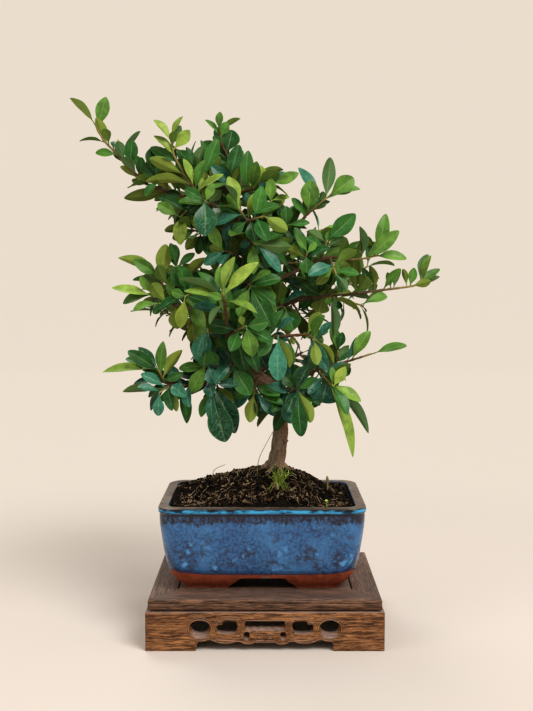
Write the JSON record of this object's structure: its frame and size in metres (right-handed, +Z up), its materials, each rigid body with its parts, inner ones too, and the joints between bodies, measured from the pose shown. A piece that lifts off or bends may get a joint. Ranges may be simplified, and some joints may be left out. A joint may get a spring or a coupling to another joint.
{
  "type": "firethorn bonsai in pot on stand",
  "caption": "Small tree with a crooked trunk and glossy oval leaves, in a rounded rectangular glazed pot on a low openwork wooden stand.",
  "frame": {"origin": "centre of the bounding box's footprint, at the height of the surface that the stand's feet rest on", "axes": "+Z up, the front with its pierced apron faces -Y, +X to the right as seen from the front"},
  "size_m": [0.3216, 0.2112, 0.47],
  "materials": {
    "stand_wood": "satin dark stained hardwood",
    "pot_glaze": "glossy mottled blue glaze over brown clay",
    "screen": "matte",
    "soil": "loose damp soil with pale root fibres",
    "bark": "rough fissured bark",
    "grass": "soft green blades",
    "foliage": "glossy leaves on thin twigs"
  },
  "bodies": {
    "root": {"stand_frame_front": "stand_wood", "stand_frame_left": "stand_wood", "stand_frame_back": "stand_wood", "stand_frame_right": "stand_wood", "stand_panel": "stand_wood", "stand_apron_left": "stand_wood", "stand_apron_front": "stand_wood", "stand_apron_back": "stand_wood", "stand_apron_right": "stand_wood", "pot": "pot_glaze", "drain_screen_left": "screen", "drain_screen_right": "screen", "soil": "soil", "grass_tuft": "grass", "trunk": "bark", "branch_top_left": "foliage", "branch_yellow_shoot": "foliage", "branch_high_left": "foliage", "branch_top": "foliage", "branch_high_right": "foliage", "branch_front_upper": "foliage", "branch_mid_left": "foliage", "branch_left": "foliage", "branch_left_low": "foliage", "branch_front_rosette": "foliage", "branch_front_right": "foliage", "branch_centre": "foliage", "branch_right_low": "foliage", "branch_right_long": "foliage", "branch_right": "foliage", "branch_upper_right": "foliage", "branch_low_right": "foliage", "branch_bottom_right": "foliage", "branch_bottom_left": "foliage", "branch_crook_front": "foliage", "branch_crook_low": "foliage", "branch_back_left": "foliage", "branch_back_right": "foliage", "branch_back_top": "foliage", "branch_back_far_right": "foliage", "branch_back_low": "foliage"}
  },
  "joints": []
}
